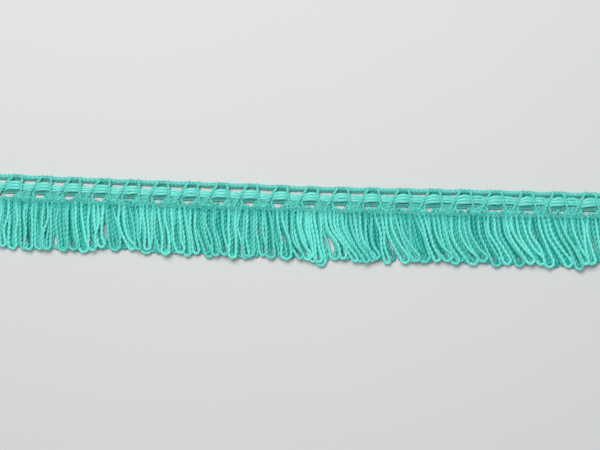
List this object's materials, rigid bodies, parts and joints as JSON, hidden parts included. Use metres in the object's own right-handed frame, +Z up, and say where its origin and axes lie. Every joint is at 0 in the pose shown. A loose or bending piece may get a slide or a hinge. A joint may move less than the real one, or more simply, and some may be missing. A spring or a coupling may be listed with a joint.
{
  "type": "fringe trim",
  "caption": "Narrow crocheted heading with two rows of open gaps and a fringe of uncut two-ply yarn loops at its foot, lying flat as a cut length.",
  "frame": {"origin": "on the underside of the heading, half way along the trim, 4 mm down from the outer edge of the edge cord, on the line where the trim is sewn on", "axes": "+X along the trim, +Y towards the edge cord, away from the loops, +Z up out of the face that shows; the trim lies on the plane Z = 0"},
  "size_m": [0.2144, 0.0265, 0.0028],
  "materials": {
    "heading_yarn": "smooth turquoise yarn with a soft gloss, crocheted",
    "fringe_yarn": "two-ply twisted turquoise yarn with a soft gloss"
  },
  "bodies": {
    "root": {"heading": "heading_yarn", "fringe": "fringe_yarn"}
  },
  "joints": []
}
